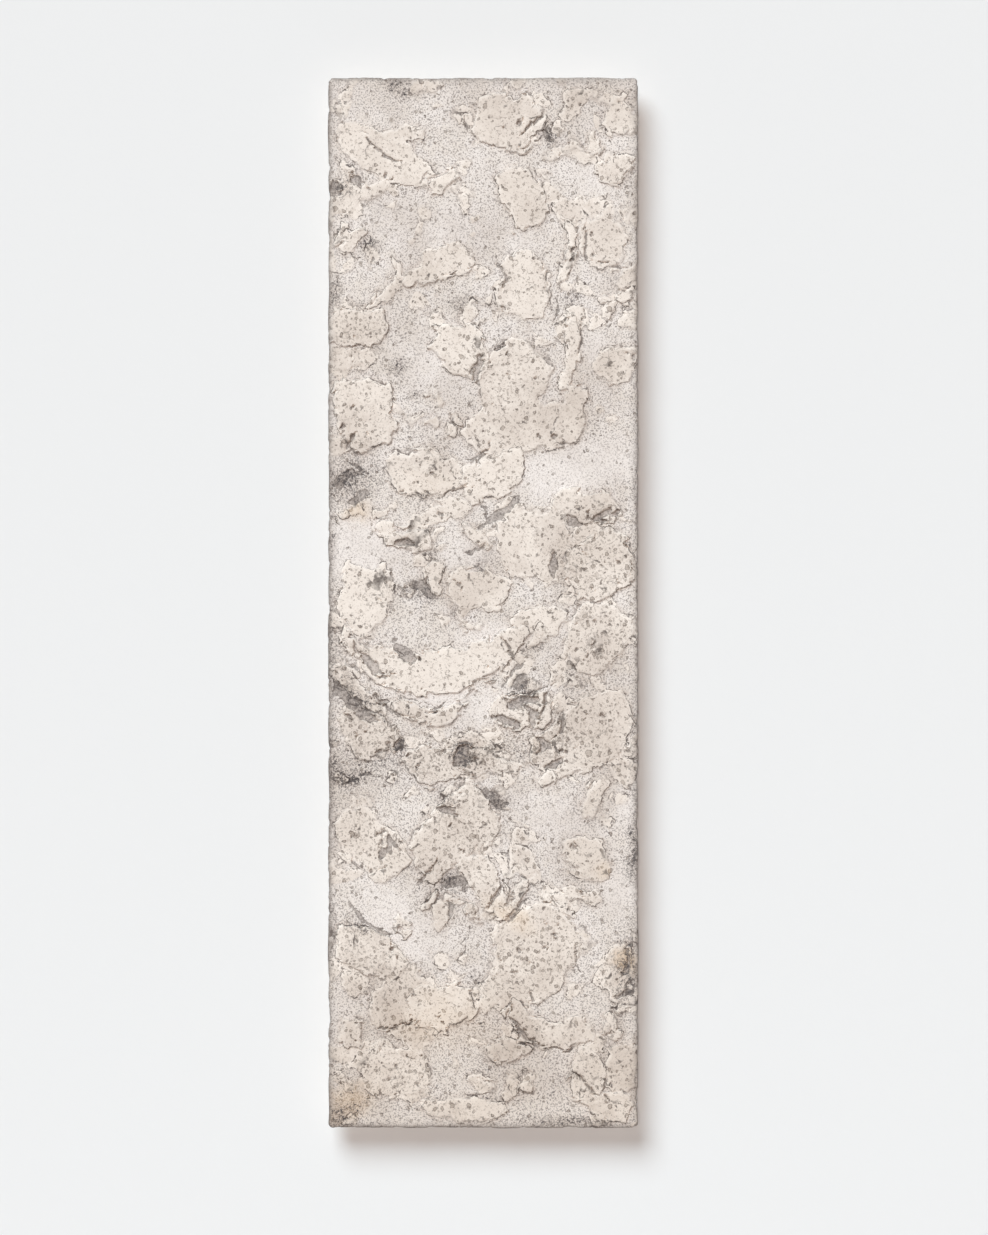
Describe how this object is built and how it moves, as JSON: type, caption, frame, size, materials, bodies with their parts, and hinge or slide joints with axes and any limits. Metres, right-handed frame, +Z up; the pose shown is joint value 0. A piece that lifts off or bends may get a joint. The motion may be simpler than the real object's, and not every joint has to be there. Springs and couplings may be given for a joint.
{
  "type": "ceramic wall panel",
  "caption": "Tall narrow fired-clay slab that hangs flat against a wall, with a broken, flaked and pitted skin in low relief on its front and a plain flat back",
  "frame": {"origin": "middle of the flat back face, where the panel lies against what holds it", "axes": "+Z up along the panel's height, +X along its width, +Y out of the back, so the relief faces -Y"},
  "size_m": [0.3548, 0.0201, 1.1998],
  "materials": {
    "fired_clay": "matt, cream skin over a cool grey sandy body with charcoal stains"
  },
  "bodies": {
    "root": {"ceramic_panel": "fired_clay"}
  },
  "joints": []
}
